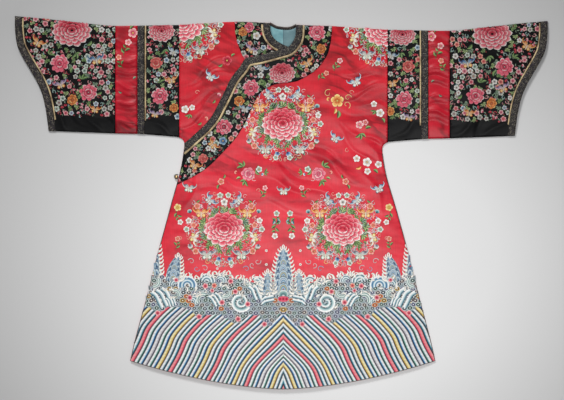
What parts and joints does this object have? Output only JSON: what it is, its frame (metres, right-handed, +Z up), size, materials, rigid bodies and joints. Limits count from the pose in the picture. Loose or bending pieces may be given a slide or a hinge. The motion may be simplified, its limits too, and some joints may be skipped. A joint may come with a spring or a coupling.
{
  "type": "ceremonial robe",
  "caption": "Ceremonial silk robe laid flat, with wide flared sleeves, an overlapping front fastened at the side, broad trim bands and embroidery.",
  "frame": {"origin": "centre of the robe's outline, on the surface it lies on", "axes": "+X from the wearer's right cuff to the left cuff, +Y towards the collar, +Z up off the surface"},
  "size_m": [1.5437, 1.0825, 0.0161],
  "materials": {
    "back_left": "silk satin",
    "back_right": "silk satin",
    "back_lining": "plain silk",
    "back_neck_ribbon": "woven brocade ribbon",
    "inner_front": "silk satin",
    "front_left": "silk satin",
    "front_right": "silk satin",
    "lapel_band": "silk satin",
    "lapel_ribbon": "woven brocade ribbon",
    "lapel_cord": "cream silk piping",
    "neck_band": "silk satin",
    "neck_ribbon": "woven brocade ribbon",
    "neck_cord": "cream silk piping",
    "sleeve_band_left": "silk satin",
    "sleeve_band_left_back": "silk satin",
    "sleeve_red_left": "silk satin",
    "sleeve_red_left_back": "silk satin",
    "sleeve_cuff_left": "silk satin",
    "sleeve_cuff_left_back": "silk satin",
    "band_ribbon_left": "woven brocade ribbon",
    "band_cord_left": "cream silk piping",
    "cuff_ribbon_left": "woven brocade ribbon",
    "cuff_cord_left": "cream silk piping",
    "sleeve_band_right": "silk satin",
    "sleeve_band_right_back": "silk satin",
    "sleeve_red_right": "silk satin",
    "sleeve_red_right_back": "silk satin",
    "sleeve_cuff_right": "silk satin",
    "sleeve_cuff_right_back": "silk satin",
    "band_ribbon_right": "woven brocade ribbon",
    "band_cord_right": "cream silk piping",
    "cuff_ribbon_right": "woven brocade ribbon",
    "cuff_cord_right": "cream silk piping",
    "side_button": "polished, gilt",
    "side_button_loop": "silk satin"
  },
  "bodies": {
    "root": {"back_left": "back_left", "back_right": "back_right", "back_lining": "back_lining", "back_neck_ribbon": "back_neck_ribbon", "inner_front": "inner_front", "front_left": "front_left", "front_right": "front_right", "lapel_band": "lapel_band", "lapel_ribbon": "lapel_ribbon", "lapel_cord": "lapel_cord", "neck_band": "neck_band", "neck_ribbon": "neck_ribbon", "neck_cord": "neck_cord", "sleeve_band_left": "sleeve_band_left", "sleeve_band_left_back": "sleeve_band_left_back", "sleeve_red_left": "sleeve_red_left", "sleeve_red_left_back": "sleeve_red_left_back", "sleeve_cuff_left": "sleeve_cuff_left", "sleeve_cuff_left_back": "sleeve_cuff_left_back", "band_ribbon_left": "band_ribbon_left", "band_cord_left": "band_cord_left", "cuff_ribbon_left": "cuff_ribbon_left", "cuff_cord_left": "cuff_cord_left", "sleeve_band_right": "sleeve_band_right", "sleeve_band_right_back": "sleeve_band_right_back", "sleeve_red_right": "sleeve_red_right", "sleeve_red_right_back": "sleeve_red_right_back", "sleeve_cuff_right": "sleeve_cuff_right", "sleeve_cuff_right_back": "sleeve_cuff_right_back", "band_ribbon_right": "band_ribbon_right", "band_cord_right": "band_cord_right", "cuff_ribbon_right": "cuff_ribbon_right", "cuff_cord_right": "cuff_cord_right", "side_button": "side_button", "side_button_loop": "side_button_loop"}
  },
  "joints": []
}
